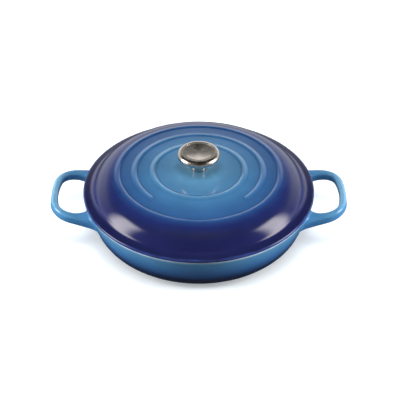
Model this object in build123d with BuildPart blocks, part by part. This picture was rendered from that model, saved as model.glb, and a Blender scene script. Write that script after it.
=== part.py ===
from build123d import *
import os
from math import asin, cos, degrees, isclose, radians, sin, sqrt, tan

# Enamelled cast-iron braiser: a shallow pan with two loop handles, a domed lid and a steel knob.
# +Z is up. The origin lies on the table under the middle of the pan, and the handles lie along X.
# Sizes are in millimetres and turns in degrees.

# Every tool that cuts clean through a face runs past it by this much
overrun = 1.0

# Two radii that differ by less than this share count as one when edges are picked
match_share = 1e-5

# Pan casting: a flat foot, a wide corner and a slightly bowed, leaning wall
rim_radius = 154.0
pan_height = 60.0
foot_inset = 40.0
pan_corner = 30.0
pan_corner_turn = 70.0
pan_wall = 4.0
rim_width = 4.6
rim_edge = 1.4
foot_ring_width = 15.0
foot_recess = 0.8

# Loop handles, cast in one with the pan and tilted up a little towards their tips
handle_length = 45.1
handle_half_width = 49.0
handle_spread = 11.0
handle_bar = 9.2
handle_thickness = 13.2
handle_bow = 6.0
handle_edge = 4.0
handle_tilt = 10.0
handle_bite = 11.0
handle_flare = 36.0
handle_flare_room = 6.0
handle_root_fillet = 4.0
hole_bite = 7.5
hole_spread = 10.0

# How far the handles lie below the rim, as a share of the pan's height, and the corner radii of
# the loop, as a share of its length, and of the finger hole, as shares of its depth
handle_drop_share = 0.27
loop_corner_share = 0.82
hole_corner_share = 0.53
hole_root_share = 0.56

# Lid casting: a flat flange, a groove, a round shoulder and a slightly crowned top
seat_gap = 0.1
lid_overhang = 1.0
lid_wall = 3.6
flange_thickness = 4.6
flange_width = 12.4
flange_rise = 0.7
flange_edge = 2.1
groove_fillet = 3.0
shoulder_width = 42.5
shoulder_height = 27.9
crown_rise = 2.2
boss_flare_radius = 32.0
boss_radius = 12.0
boss_height = 2.0
boss_edge = 0.8

# The three raised rings on the lid, as shares of the outer one's radius; the middle one stops
# short of the front
ring_inset = 4.3
ring_shares = (1, 0.795, 0.568)
ring_widths = (7.2, 6.2, 6.0)
ring_height = 1.3
ring_end_round = 2.5
ring_gaps = (0, 92.0, 0)

# Lip under the lid that drops into the pan, with three small lugs that centre it
lip_clearance = 2.2
lip_drop = 4.0
lip_width = 3.4
lip_draft = 0.6
lip_edge = 0.8
lug_clearance = 1.2
lug_height = 2.6
lug_turn = 5.0
lug_count = 3

# Pad under the middle of the lid, where the screw pulls
pad_radius = 13.0
pad_thickness = 2.4
pad_edge = 0.8

# Knob: a hollow turned body with a rolled rim, and a dished cap let into its top
stem_radius = 10.1
stem_floor = 2.0
stem_foot_edge = 0.6
knob_radius = 28.0
knob_height = 27.7
knob_roll = 5.2
knob_slope = 24.0
knob_wall = 2.2
stem_fillet = 5.0
cap_radius = 20.8
cap_clearance = 0.1
cap_thickness = 1.0
cap_sink = 0.2
cap_ledge = 1.8
cap_dish = 1.5
cap_edge = 0.3

# Fastening: one screw from below, through a washer and the lid, into a bush in the stem
screw_radius = 3.0
screw_clearance = 0.4
screw_engagement = 10.0
screw_point = 0.6
screw_head_radius = 6.2
screw_head_height = 3.2
screw_head_edge = 1.0
screw_slot_width = 1.4
screw_slot_depth = 1.5
washer_radius = 7.6
washer_thickness = 1.0
washer_edge = 0.2
thread_clearance = 0.05
bush_clearance = 0.1
bush_length = 12.0
bush_edge = 0.5

# Radii and heights that several pieces share
foot_radius = rim_radius - foot_inset
lid_radius = rim_radius + lid_overhang
shoulder_radius = lid_radius - shoulder_width
lid_seat = pan_height + seat_gap
crown_top = lid_seat + shoulder_height + crown_rise
boss_top = crown_top + boss_height
pad_bottom = crown_top - lid_wall - pad_thickness
bush_bottom = boss_top + stem_floor
washer_bottom = pad_bottom - washer_thickness

os.makedirs("parts", exist_ok=True)


def circles_of(piece, radius):
    """Pick a piece's circular edges of one radius."""
    round_edges = piece.edges().filter_by(GeomType.CIRCLE)
    return round_edges.filter_by(lambda edge: isclose(edge.radius, radius, rel_tol=match_share))


def write(piece, name):
    """Label a finished piece and write it under the same name."""
    piece.part.label = name
    export_step(piece.part, f"parts/{name}.step")
    print(name, round(piece.part.volume), "mm3")


# Handle: one loop on a tilted plane, measured from the rim outwards
handle_plane = Plane(
    origin=(rim_radius, 0, pan_height - handle_drop_share * pan_height),
    x_dir=(cos(radians(handle_tilt)), 0, sin(radians(handle_tilt))),
    z_dir=(-sin(radians(handle_tilt)), 0, cos(radians(handle_tilt))),
)
handle_normal = Axis(handle_plane.origin, handle_plane.z_dir)
loop_length = handle_length / cos(radians(handle_tilt))
hole_depth = loop_length - handle_bar
root_radius = rim_radius - handle_bite
root_half_width = handle_half_width + handle_flare + handle_flare_room
root_start = sqrt(root_radius**2 - root_half_width**2) - rim_radius


def loop_face(start, length, half_width, spread, corner):
    """Draw a loop with a bowed tip and rounded corners there, whose sides spread towards the pan."""
    root = half_width + (length - handle_bow - start) * tan(radians(spread))
    with BuildSketch() as loop:
        with BuildLine():
            tip = ThreePointArc(
                (length - handle_bow, -half_width), (length, 0), (length - handle_bow, half_width)
            )
            Polyline(tip @ 1, (start, root), (start, -root), tip @ 0)
        make_face()
        fillet(loop.vertices().group_by(Axis.X)[-1], radius=corner)
    return loop.sketch


with BuildSketch(handle_plane) as handle_outline:
    add(loop_face(-rim_radius, loop_length, handle_half_width, handle_spread, loop_corner_share * loop_length))
    with Locations((-rim_radius, 0)):
        Circle(root_radius)
    with Locations((root_start, 0)):
        Rectangle(
            loop_length - root_start,
            2 * root_half_width,
            align=(Align.MIN, Align.CENTER),
            mode=Mode.INTERSECT,
        )

hole_half_width = handle_half_width - handle_bar
with BuildSketch() as hole:
    add(loop_face(-hole_bite, hole_depth, hole_half_width, hole_spread, hole_corner_share * hole_depth))
    fillet(hole.vertices().group_by(Axis.X)[0], radius=hole_root_share * hole_depth)

with BuildSketch(handle_plane) as finger_hole:
    add(hole.sketch)

with BuildPart() as handle:
    extrude(handle_outline.sketch, amount=handle_thickness / 2, both=True)
    upright = handle.edges().filter_by(handle_normal)
    inward_corners = upright.filter_by(lambda edge: abs(edge.center().Y) < root_half_width - overrun)
    fillet(inward_corners.sort_by(Axis.X)[:2], radius=handle_flare)
    extrude(finger_hole.sketch, amount=handle_thickness, both=True, mode=Mode.SUBTRACT)
    flat_faces = handle.faces().filter_by(handle_normal)
    bar_edges = flat_faces.edges().filter_by(
        lambda edge: edge.bounding_box().max.X > rim_radius + root_start + overrun
    )
    fillet(bar_edges, radius=handle_edge)

# Pan
corner_centre = (foot_radius, pan_corner)


def pan_section(inset, rim, bottom, top):
    """Draw half of the pan's section, moved in by a wall and run up to a height."""
    with BuildSketch(Plane.XZ) as section:
        with BuildLine():
            corner = CenterArc(corner_centre, pan_corner - inset, -90, pan_corner_turn)
            wall = TangentArc(corner @ 1, (rim, pan_height), tangent=corner % 1)
            Polyline(wall @ 1, (rim, top), (0, top), (0, bottom), corner @ 0)
        make_face()
    return section.sketch


with BuildPart() as pan:
    revolve(pan_section(0, rim_radius, 0, pan_height + overrun), axis=Axis.Z)
    split(bisect_by=Plane.XY.offset(pan_height), keep=Keep.BOTTOM)
    for loop in (handle.part, mirror(handle.part, about=Plane.YZ, mode=Mode.PRIVATE)):
        add(loop)
        fillet(pan.edges(Select.NEW), radius=handle_root_fillet)
    hollow = pan_section(pan_wall, rim_radius - rim_width, pan_wall, pan_height + overrun)
    revolve(hollow, axis=Axis.Z, mode=Mode.SUBTRACT)
    fillet(pan.faces().sort_by(Axis.Z)[-1].edges(), radius=rim_edge)
    with BuildSketch():
        Circle(foot_radius - foot_ring_width)
    extrude(amount=foot_recess, mode=Mode.SUBTRACT)

write(pan, "pan")

# Lid
lip_radius = rim_radius - rim_width - lip_clearance
lip_inner_radius = lip_radius - lip_width
lip_bottom = lid_seat - lip_drop
lug_radius = rim_radius - rim_width - lug_clearance
groove_radius = lid_radius - flange_width
groove_height = lid_seat + flange_thickness + flange_rise
crown_ball = (shoulder_radius**2 + crown_rise**2) / (2 * crown_rise)
crown_turn = degrees(asin(shoulder_radius / crown_ball))


def crown_height(radius):
    """Height of the lid's crowned top at a radius."""
    return crown_top - crown_ball + sqrt(crown_ball**2 - radius**2)


def ring_bead(radius, width, gap):
    """Make a round bead whose top stands out of the crown as a low ring, open towards the front."""
    bead = (ring_height**2 + (width / 2) ** 2) / (2 * ring_height)
    centre = (radius, crown_height(radius) + ring_height - bead)
    with BuildPart() as ring:
        with BuildSketch(Plane.XZ):
            with BuildLine():
                top = CenterArc(centre, bead, 0, 180)
                Line(top @ 1, top @ 0)
            make_face()
        revolve(axis=Axis.Z, revolution_arc=360 - gap)
        if gap:
            fillet(circles_of(ring, bead), radius=ring_end_round)
    return ring.part.rotate(Axis.Z, gap / 2 - 90)


def moved_in(curve, distance):
    """Find the point a distance below the end of a curve of the lid's section."""
    tangent = curve % 1
    return curve @ 1 + distance * Vector(tangent.Y, -tangent.X)


with BuildPart() as lug:
    with BuildSketch(Plane.XZ):
        with Locations((lip_radius - lip_width / 2, lid_seat - lug_height)):
            Rectangle(
                lug_radius - lip_radius + lip_width / 2,
                lug_height + flange_thickness / 2,
                align=(Align.MIN, Align.MIN),
            )
    revolve(axis=Axis.Z, revolution_arc=lug_turn)

with BuildPart() as lid:
    with BuildSketch(Plane.XZ):
        with BuildLine():
            crown = CenterArc((0, crown_top - crown_ball), crown_ball, 90, -crown_turn)
            shoulder = TangentArc(crown @ 1, (groove_radius, groove_height), tangent=crown % 1)
            Polyline(
                shoulder @ 1,
                (lid_radius, lid_seat + flange_thickness),
                (lid_radius, lid_seat),
                (lip_radius, lid_seat),
                (lip_radius - lip_draft, lip_bottom),
                (0, lip_bottom),
                (0, crown_top),
            )
        make_face()
    revolve(axis=Axis.Z)
    fillet(circles_of(lid, lid_radius), radius=flange_edge)
    fillet(circles_of(lid, groove_radius), radius=groove_fillet)

    # Boss under the knob, flaring up out of the crown
    with BuildSketch(Plane.XZ):
        with BuildLine():
            flare_start = (boss_flare_radius, crown_height(boss_flare_radius))
            flare = TangentArc(flare_start, (boss_radius, boss_top), tangent=(-1, 0))
            Polyline(flare @ 1, (0, boss_top), (0, lip_bottom), (boss_flare_radius, lip_bottom), flare @ 0)
        make_face()
    revolve(axis=Axis.Z)
    fillet(circles_of(lid, boss_radius), radius=boss_edge)

    # The rings' beads go in before the underside is cut, which trims them to their tops
    for share, width, gap in zip(ring_shares, ring_widths, ring_gaps):
        add(ring_bead(share * (shoulder_radius - ring_inset), width, gap))
    with BuildSketch(Plane.XZ):
        with BuildLine():
            ceiling = TangentArc((0, crown_top - lid_wall), moved_in(crown, lid_wall), tangent=(1, 0))
            inner_shoulder = TangentArc(ceiling @ 1, moved_in(shoulder, lid_wall), tangent=ceiling % 1)
            Polyline(
                inner_shoulder @ 1,
                (lip_inner_radius, lip_bottom),
                (lip_inner_radius, lip_bottom - overrun),
                (0, lip_bottom - overrun),
                ceiling @ 0,
            )
        make_face()
    revolve(axis=Axis.Z, mode=Mode.SUBTRACT)
    fillet(circles_of(lid, lip_inner_radius), radius=lip_edge)
    fillet(circles_of(lid, lip_radius - lip_draft), radius=lip_edge)
    with PolarLocations(0, lug_count, start_angle=-lug_turn / 2):
        add(lug.part)

    # Pad and screw hole in the middle
    with BuildSketch(Plane.XY.offset(pad_bottom)):
        Circle(pad_radius)
    extrude(amount=pad_thickness + lid_wall / 2)
    fillet(circles_of(lid, pad_radius).sort_by(Axis.Z)[0], radius=pad_edge)
    Hole(screw_radius + screw_clearance)

write(lid, "lid")

# Knob body: a turned outside, and a hollow that leaves one wall all round
knob_plane = Plane(origin=(0, 0, boss_top), x_dir=(1, 0, 0), z_dir=(0, -1, 0))
knob_roll_centre = (knob_radius - knob_roll, knob_height - knob_roll)


def knob_section(inset, bottom):
    """Draw half of the knob's section above its foot, moved in by a wall."""
    stem = stem_radius - inset
    with BuildSketch(knob_plane) as section:
        with BuildLine():
            roll = CenterArc(knob_roll_centre, knob_roll - inset, knob_slope - 90, 180 - knob_slope)
            neck_height = (roll @ 0).Y - ((roll @ 0).X - stem) * tan(radians(knob_slope))
            Polyline(
                roll @ 1,
                (0, knob_height - inset),
                (0, bottom),
                (stem, bottom),
                (stem, neck_height),
                roll @ 0,
            )
        make_face()
    return section.sketch


with BuildPart() as knob_body:
    revolve(knob_section(0, 0), axis=Axis.Z)
    stem_edges = circles_of(knob_body, stem_radius).sort_by(Axis.Z)
    fillet(stem_edges[-1], radius=stem_fillet)
    fillet(stem_edges[0], radius=stem_foot_edge)
    revolve(knob_section(knob_wall, stem_floor), axis=Axis.Z, mode=Mode.SUBTRACT)
    bore_edges = circles_of(knob_body, stem_radius - knob_wall).sort_by(Axis.Z)
    fillet(bore_edges[-1], radius=stem_fillet + knob_wall)
    with BuildSketch(Plane.XY.offset(boss_top + knob_height)):
        Circle(cap_radius + cap_clearance)
    extrude(amount=-cap_thickness - cap_sink, mode=Mode.SUBTRACT)
    with BuildSketch(Plane.XY.offset(boss_top + knob_height)):
        Circle(cap_radius - cap_ledge)
    extrude(amount=-knob_wall, mode=Mode.SUBTRACT)
    with BuildSketch(Plane.XY.offset(boss_top)):
        Circle(screw_radius + screw_clearance)
    extrude(amount=stem_floor, mode=Mode.SUBTRACT)

write(knob_body, "knob_body")

# Knob cap: a flat edge that lies on the ledge, round a shallow dish
cap_top = boss_top + knob_height - cap_sink
dish_radius = cap_radius - cap_ledge

with BuildPart() as knob_cap:
    with BuildSketch(Plane.XZ):
        with BuildLine():
            upper = TangentArc((0, cap_top - cap_dish), (dish_radius, cap_top), tangent=(1, 0))
            lower = TangentArc(
                (0, cap_top - cap_dish - cap_thickness),
                (dish_radius, cap_top - cap_thickness),
                tangent=(1, 0),
            )
            Polyline(upper @ 1, (cap_radius, cap_top), (cap_radius, cap_top - cap_thickness), lower @ 1)
            Line(upper @ 0, lower @ 0)
        make_face()
    revolve(axis=Axis.Z)
    fillet(circles_of(knob_cap, cap_radius).sort_by(Axis.Z)[-1], radius=cap_edge)

write(knob_cap, "knob_cap")

# Bush: stands on the floor of the stem, and the screw is driven into it
with BuildPart() as knob_bush:
    with BuildSketch(Plane.XY.offset(bush_bottom)):
        Circle(stem_radius - knob_wall - bush_clearance)
        Circle(screw_radius + thread_clearance, mode=Mode.SUBTRACT)
    extrude(amount=bush_length)
    chamfer(circles_of(knob_bush, stem_radius - knob_wall - bush_clearance), length=bush_edge)

write(knob_bush, "knob_bush")

# Washer: lies on the pad, round the screw
with BuildPart() as knob_washer:
    with BuildSketch(Plane.XY.offset(washer_bottom)):
        Circle(washer_radius)
        Circle(screw_radius + screw_clearance, mode=Mode.SUBTRACT)
    extrude(amount=washer_thickness)
    chamfer(circles_of(knob_washer, washer_radius), length=washer_edge)

write(knob_washer, "knob_washer")

# Screw: comes up from below, with a slotted head on the washer
with BuildPart() as knob_screw:
    with BuildSketch(Plane.XY.offset(washer_bottom)):
        Circle(screw_radius)
    extrude(amount=bush_bottom + screw_engagement - washer_bottom)
    chamfer(circles_of(knob_screw, screw_radius).sort_by(Axis.Z)[-1], length=screw_point)
    with BuildSketch(Plane.XY.offset(washer_bottom)):
        Circle(screw_head_radius)
    extrude(amount=-screw_head_height)
    fillet(circles_of(knob_screw, screw_head_radius).sort_by(Axis.Z)[0], radius=screw_head_edge)
    with BuildSketch(Plane.XY.offset(washer_bottom - screw_head_height)):
        Rectangle(2 * screw_head_radius, screw_slot_width)
    extrude(amount=screw_slot_depth, mode=Mode.SUBTRACT)

write(knob_screw, "knob_screw")
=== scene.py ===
# %% [markdown]
# # A braiser, dressed for its picture
#
# A braiser is a wide, shallow casserole of enamelled cast iron. The frame brings in its solids, one
# for each real piece, and this notebook gives them their finish. Pieces that were turned or cast
# round an axis are made again here with far more faces, because gloss shows every flat facet.

# %% Load the frame
from math import atan2, cos, degrees, hypot, pi, radians, sin, sqrt, tan

import bmesh
import bpy
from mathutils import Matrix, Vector


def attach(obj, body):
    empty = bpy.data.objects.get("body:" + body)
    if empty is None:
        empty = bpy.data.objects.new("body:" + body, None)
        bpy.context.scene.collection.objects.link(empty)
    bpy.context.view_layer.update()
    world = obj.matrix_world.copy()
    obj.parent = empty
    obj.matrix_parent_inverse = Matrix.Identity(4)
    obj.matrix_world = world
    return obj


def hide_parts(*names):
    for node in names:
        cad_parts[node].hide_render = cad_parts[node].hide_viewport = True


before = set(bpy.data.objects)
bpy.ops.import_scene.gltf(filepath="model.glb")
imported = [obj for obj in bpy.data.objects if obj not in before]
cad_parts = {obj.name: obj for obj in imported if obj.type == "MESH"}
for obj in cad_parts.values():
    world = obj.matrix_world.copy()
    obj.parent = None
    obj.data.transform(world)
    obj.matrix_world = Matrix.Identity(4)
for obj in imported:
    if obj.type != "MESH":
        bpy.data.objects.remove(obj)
scene = bpy.context.scene
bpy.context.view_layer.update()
print("solids:", sorted(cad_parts))

# %% [markdown]
# ## Helpers
#
# Colours are written as hex values, as a paint chart or a web page gives them. Those are sRGB
# values, and Blender's sockets take linear ones, so one function turns the first into the second.
# Another function adds a node, sets its options and feeds its sockets. A socket is fed with a plain
# value or with another node's output, and every kind of tree below is built with it. The third
# starts a material with an empty tree, so that nothing in it is there by default. The last one
# spells out the two spans between which a Map Range node converts.

# %% Colour, node and material helpers
def colour(hex_value):
    """Turn an sRGB hex colour into the linear RGBA that a socket takes."""
    channels = [int(hex_value[i:i + 2], 16) / 255 for i in (1, 3, 5)]
    return [c / 12.92 if c <= 0.04045 else ((c + 0.055) / 1.055) ** 2.4 for c in channels] + [1.0]


def add_node(tree, kind, feeds=None, **options):
    """Add a node with its options, and feed its input sockets with values or outputs."""
    node = tree.nodes.new(kind)
    for name, value in options.items():
        setattr(node, name, value)
    for socket, value in (feeds or {}).items():
        if isinstance(value, bpy.types.NodeSocket):
            tree.links.new(value, node.inputs[socket])
        else:
            node.inputs[socket].default_value = value
    return node


def empty_material(name):
    """Make a material and return it with its emptied tree."""
    material = bpy.data.materials.new(name)
    material.use_nodes = True
    material.node_tree.nodes.clear()
    return material, material.node_tree


def spans(start, end):
    """Feeds for a Map Range node's two spans: the values that come in and what they become."""
    return {1: start[0], 2: start[1], 3: end[0], 4: end[1]}


print("indigo glaze:", [round(c, 3) for c in colour("#1E2550")])

# %% [markdown]
# ## Sections
#
# A turned piece is known by its section: the outline that you see when it is sawn in half. Here a
# section is a list of (radius, height) points in millimetres. Big curves are sampled finely, and
# each sharp corner between two curves gets a small rounding, because no real edge is perfectly
# sharp and it is the rounding that catches the light.

# %% Lines and arcs for sections
def line(start, end, steps=1):
    """Points on a straight run."""
    return [(start[0] + (end[0] - start[0]) * i / steps, start[1] + (end[1] - start[1]) * i / steps)
            for i in range(steps + 1)]


def arc(centre, radius, first, last, steps):
    """Points on an arc between two angles in degrees."""
    turns = [radians(first + (last - first) * i / steps) for i in range(steps + 1)]
    return [(centre[0] + radius * cos(t), centre[1] + radius * sin(t)) for t in turns]


NEARLY_STRAIGHT = 1e-9


def leaving(start, heading, end, steps):
    """Points on the arc that leaves its start along a heading and reaches its end."""
    length = hypot(*heading)
    side = (-heading[1] / length, heading[0] / length)
    across, along = end[0] - start[0], end[1] - start[1]
    offset = across * side[0] + along * side[1]
    if abs(offset) < NEARLY_STRAIGHT:
        return line(start, end, steps)
    radius = (across**2 + along**2) / (2 * offset)
    centre = (start[0] + radius * side[0], start[1] + radius * side[1])
    first = atan2(start[1] - centre[1], start[0] - centre[0])
    last = atan2(end[1] - centre[1], end[0] - centre[0])
    turn = last - first
    while radius > 0 and turn < 0:
        turn += 2 * pi
    while radius < 0 and turn > 0:
        turn -= 2 * pi
    return arc(centre, abs(radius), degrees(first), degrees(first + turn), steps)


print("a quarter round:", [tuple(round(x, 2) for x in p) for p in arc((0, 0), 2, 0, 90, 3)])

# %% Join curves with rounded corners
BEND_STEPS = 7
SAME_POINT = 1e-4


def heading_at(points):
    """The direction in which a curve arrives at its end."""
    return (points[-1][0] - points[-2][0], points[-1][1] - points[-2][1])


def trimmed(points, cut):
    """A curve with a length taken off its end, and the direction there."""
    points = list(points)
    while len(points) > 2 and hypot(*heading_at(points)) <= cut:
        cut -= hypot(*heading_at(points))
        points.pop()
    step = heading_at(points)
    length = hypot(*step)
    way = (step[0] / length, step[1] / length)
    points[-1] = (points[-1][0] - way[0] * cut, points[-1][1] - way[1] * cut)
    return points, way


def corner(arriving, next_one, radius):
    """Trim two curves at their corner, and return them with the points of the bend between them."""
    a, b = heading_at(arriving), heading_at(next_one[::-1])
    opening = abs(atan2(a[0] * -b[1] - a[1] * -b[0], a[0] * -b[0] + a[1] * -b[1]))
    cut, pull = radius * tan(opening / 2), 4 / 3 * tan(opening / 4) * radius
    arriving, way_in = trimmed(arriving, cut)
    back, way_out = trimmed(next_one[::-1], cut)
    next_one = back[::-1]
    p0, p3 = arriving[-1], next_one[0]
    p1 = (p0[0] + way_in[0] * pull, p0[1] + way_in[1] * pull)
    p2 = (p3[0] + way_out[0] * pull, p3[1] + way_out[1] * pull)
    shares = [step / BEND_STEPS for step in range(1, BEND_STEPS)]
    bend = [tuple((1 - t) ** 3 * p0[k] + 3 * (1 - t) ** 2 * t * p1[k]
                  + 3 * (1 - t) * t * t * p2[k] + t**3 * p3[k] for k in (0, 1)) for t in shares]
    return arriving, next_one, bend


def section(runs, closed=True):
    """Join curves end to end. Each run is a curve and the radius of the corner at its end."""
    curves = [list(curve) for curve, _ in runs]
    bends = [[] for _ in runs]
    for i, (_, radius) in enumerate(runs if closed else runs[:-1]):
        j = (i + 1) % len(runs)
        if radius:
            curves[i], curves[j], bends[i] = corner(curves[i], curves[j], radius)
    points = []
    for curve, bend in zip(curves, bends):
        points += [p for p in curve + bend if not points or hypot(
            p[0] - points[-1][0], p[1] - points[-1][1]) > SAME_POINT]
    return points


square = [(line((0, 0), (9, 0)), 2), (line((9, 0), (9, 9)), 0), (line((9, 9), (0, 9)), 0)]
print("a rounded corner:", [tuple(round(x, 1) for x in p) for p in section(square, closed=False)])

# %% [markdown]
# ## A ring raised by nodes
#
# Three round beads stand up from the lid. They could be part of its section, but the middle one
# stops short of the front, which no turned section can do. So a node group lifts each of them out
# of the finished surface. The bead is a bell: half a cosine wave down to each side. Its inner side
# is the steeper one, which draws the thin bright line that the eye follows round the lid.
#
# The group also notes where the glaze would run while it melts. It is left thin on the crest, and
# gathers in the hollow at the steep inner side. Both are stored on the mesh, and the enamel below
# reads them: it paints the crest paler, for the thin glaze and as a painted highlight, and the
# hollow deeper, for the pooled glaze and as painted shade.

# %% Sizes of a bead and its glaze
# The two sides' widths blend into each other within this distance of the crest, in metres
WIDTH_BLEND, POOL_BLEND = 0.002, 0.001
# Where the glaze is thin under a painted highlight, and where it pools in painted shade, as shares
# of the way from the crest to the bead's side
THIN_SHARES = (0.05, 0.4)
POOL_RISE_SHARES, POOL_FALL_SHARES = (0.45, 0.8), (1.0, 1.5)
OUTER_POOL_SHARE = 0.25
RING_INPUTS = ("radius", "inner width", "outer width", "height", "open half angle")
print("inputs of a ring:", ", ".join(RING_INPUTS))


# %% The raised ring, as a node group
def distance_to_ring(tree, given, place):
    """Outputs for a point's distance to the ring's line, and how far outside that line it lies."""
    side = add_node(tree, "ShaderNodeMath", {0: place["X"]}, operation="ABSOLUTE").outputs[0]
    front = add_node(tree, "ShaderNodeMath", {0: place["Y"], 1: -1.0}, operation="MULTIPLY").outputs[0]
    turn = add_node(tree, "ShaderNodeMath", {0: side, 1: front}, operation="ARCTAN2").outputs[0]
    flat = add_node(tree, "ShaderNodeCombineXYZ", {0: side, 1: front}).outputs[0]
    out = add_node(tree, "ShaderNodeVectorMath", {0: flat}, operation="LENGTH").outputs["Value"]
    beyond = add_node(tree, "ShaderNodeMath", {0: out, 1: given["Radius"]},
                      operation="SUBTRACT").outputs[0]
    to_ring = add_node(tree, "ShaderNodeMath", {0: beyond}, operation="ABSOLUTE").outputs[0]
    # In the opening a point's distance is measured to the ring's end, and elsewhere to the ring
    end_side = add_node(tree, "ShaderNodeMath", {0: given["Open half angle"]}, operation="SINE").outputs[0]
    end_front = add_node(tree, "ShaderNodeMath", {0: given["Open half angle"]},
                         operation="COSINE").outputs[0]
    end = add_node(tree, "ShaderNodeCombineXYZ", {0: end_side, 1: end_front}).outputs[0]
    end = add_node(tree, "ShaderNodeVectorMath", {0: end, "Scale": given["Radius"]},
                   operation="SCALE").outputs[0]
    to_end = add_node(tree, "ShaderNodeVectorMath", {0: flat, 1: end},
                      operation="DISTANCE").outputs["Value"]
    opening = add_node(tree, "FunctionNodeCompare", {0: turn, 1: given["Open half angle"]},
                       data_type="FLOAT", operation="LESS_THAN").outputs[0]
    away = add_node(tree, "GeometryNodeSwitch", {0: opening, 1: to_ring, 2: to_end},
                    input_type="FLOAT").outputs[0]
    return away, beyond


def glaze_and_light_on_ring(tree, share, beyond):
    """Outputs for thin glaze with a painted highlight on the crest, and pooled glaze in painted shade."""
    thin = add_node(tree, "ShaderNodeMapRange", {0: share, **spans(THIN_SHARES, (1.0, 0.0))}).outputs[0]
    rise = add_node(tree, "ShaderNodeMapRange",
                    {0: share, **spans(POOL_RISE_SHARES, (0.0, 1.0))}).outputs[0]
    fall = add_node(tree, "ShaderNodeMapRange",
                    {0: share, **spans(POOL_FALL_SHARES, (1.0, 0.0))}).outputs[0]
    pool_and_shade = add_node(tree, "ShaderNodeMath", {0: rise, 1: fall}, operation="MULTIPLY").outputs[0]
    inner = add_node(tree, "ShaderNodeMapRange",
                     {0: beyond, **spans((-POOL_BLEND, POOL_BLEND), (1.0, OUTER_POOL_SHARE))}).outputs[0]
    return thin, add_node(tree, "ShaderNodeMath", {0: pool_and_shade, 1: inner}, operation="MULTIPLY").outputs[0]


def raised_ring_group():
    """Make the group that lifts one round bead out of a surface that faces up."""
    tree = bpy.data.node_groups.new("raised ring", "GeometryNodeTree")
    tree.interface.new_socket("Geometry", in_out="INPUT", socket_type="NodeSocketGeometry")
    for name in [word.capitalize() for word in RING_INPUTS] + ["Lowest height"]:
        tree.interface.new_socket(name, in_out="INPUT", socket_type="NodeSocketFloat")
    tree.interface.new_socket("Geometry", in_out="OUTPUT", socket_type="NodeSocketGeometry")
    given = add_node(tree, "NodeGroupInput").outputs
    here = add_node(tree, "GeometryNodeInputPosition").outputs[0]
    place = add_node(tree, "ShaderNodeSeparateXYZ", {0: here}).outputs
    away, beyond = distance_to_ring(tree, given, place)
    widths = (given["Inner width"], given["Outer width"])
    width = add_node(tree, "ShaderNodeMapRange",
                     {0: beyond, **spans((-WIDTH_BLEND, WIDTH_BLEND), widths)}).outputs[0]
    share = add_node(tree, "ShaderNodeMath", {0: away, 1: width}, operation="DIVIDE").outputs[0]
    bend = add_node(tree, "ShaderNodeMath", {0: share, 1: 1.0}, operation="MINIMUM").outputs[0]
    bend = add_node(tree, "ShaderNodeMath", {0: bend, 1: pi}, operation="MULTIPLY").outputs[0]
    bell = add_node(tree, "ShaderNodeMath", {0: bend}, operation="COSINE").outputs[0]
    bell = add_node(tree, "ShaderNodeMath", {0: bell, 1: 0.5, 2: 0.5}, operation="MULTIPLY_ADD").outputs[0]
    bead = add_node(tree, "ShaderNodeMath", {0: bell, 1: given["Height"]}, operation="MULTIPLY").outputs[0]
    on_top = add_node(tree, "FunctionNodeCompare", {0: place["Z"], 1: given["Lowest height"]},
                      data_type="FLOAT", operation="GREATER_THAN").outputs[0]
    lift = add_node(tree, "ShaderNodeCombineXYZ", {2: bead}).outputs[0]
    raised = add_node(tree, "GeometryNodeSetPosition",
                      {"Geometry": given["Geometry"], "Selection": on_top, "Offset": lift}).outputs[0]
    for name, value in zip(("crest", "pool_and_shade"), glaze_and_light_on_ring(tree, share, beyond)):
        value = add_node(tree, "GeometryNodeSwitch", {0: on_top, 1: 0.0, 2: value},
                         input_type="FLOAT").outputs[0]
        before = add_node(tree, "GeometryNodeInputNamedAttribute", {"Name": name},
                          data_type="FLOAT").outputs[0]
        value = add_node(tree, "ShaderNodeMath", {0: value, 1: before}, operation="MAXIMUM").outputs[0]
        raised = add_node(tree, "GeometryNodeStoreNamedAttribute",
                          {"Geometry": raised, "Name": name, "Value": value},
                          data_type="FLOAT", domain="POINT").outputs[0]
    add_node(tree, "NodeGroupOutput", {0: raised})
    return tree


raised_ring = raised_ring_group()
print("ring group:", len(raised_ring.nodes), "nodes")

# %% [markdown]
# ## A lathe made of nodes
#
# The lid, the knob and its cap are round, so their shape follows one rule: each point of the
# section goes once round the axis. Blender's Screw modifier could do it, but a node tree can also
# raise the lid's rings on the way, and its sizes stay in view as named inputs. The tree lays out
# a grid whose rows stand for the section's points and whose columns stand for steps round the
# circle, then moves every grid point to its place. Merging by distance closes the seam and the
# middle.

# %% The lathe tree
MERGE_DISTANCE = 1e-6


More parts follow.
